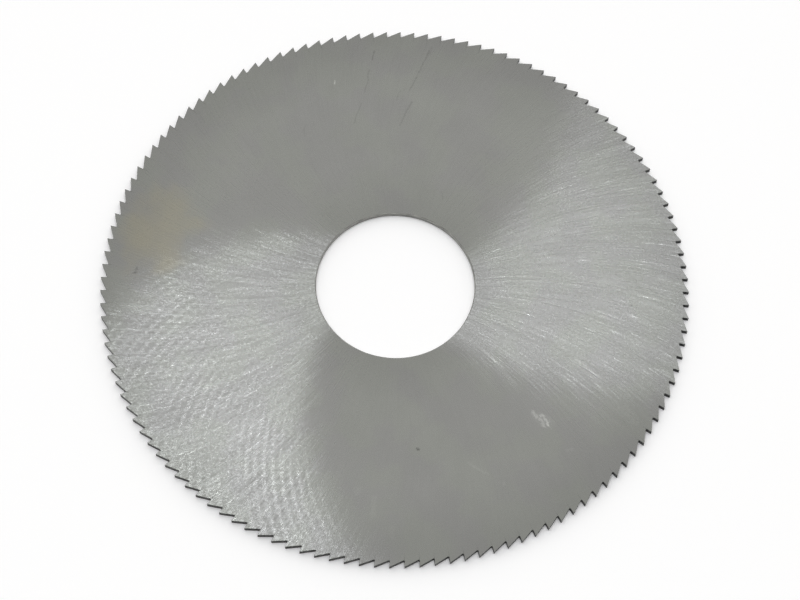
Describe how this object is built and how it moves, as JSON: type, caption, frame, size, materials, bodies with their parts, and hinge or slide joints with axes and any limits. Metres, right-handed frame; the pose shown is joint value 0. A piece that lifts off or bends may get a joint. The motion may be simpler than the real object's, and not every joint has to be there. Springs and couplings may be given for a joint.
{
  "type": "slitting saw",
  "caption": "Thin flat ring-shaped metal-cutting saw with a plain round arbor bore and fine raked teeth all round its rim.",
  "frame": {"origin": "on the bore axis, in the plane that the blade lies on", "axes": "+Z along the bore axis and up off the surface the blade lies on; +X and +Y lie in the blade's plane, +Y away from the viewer"},
  "size_m": [0.1, 0.1, 0.001],
  "materials": {
    "ground_steel": "hollow-ground high-speed steel with swirling wheel marks, bright where they catch the light and grey where they don't"
  },
  "bodies": {
    "root": {"saw_blade": "ground_steel"}
  },
  "joints": []
}
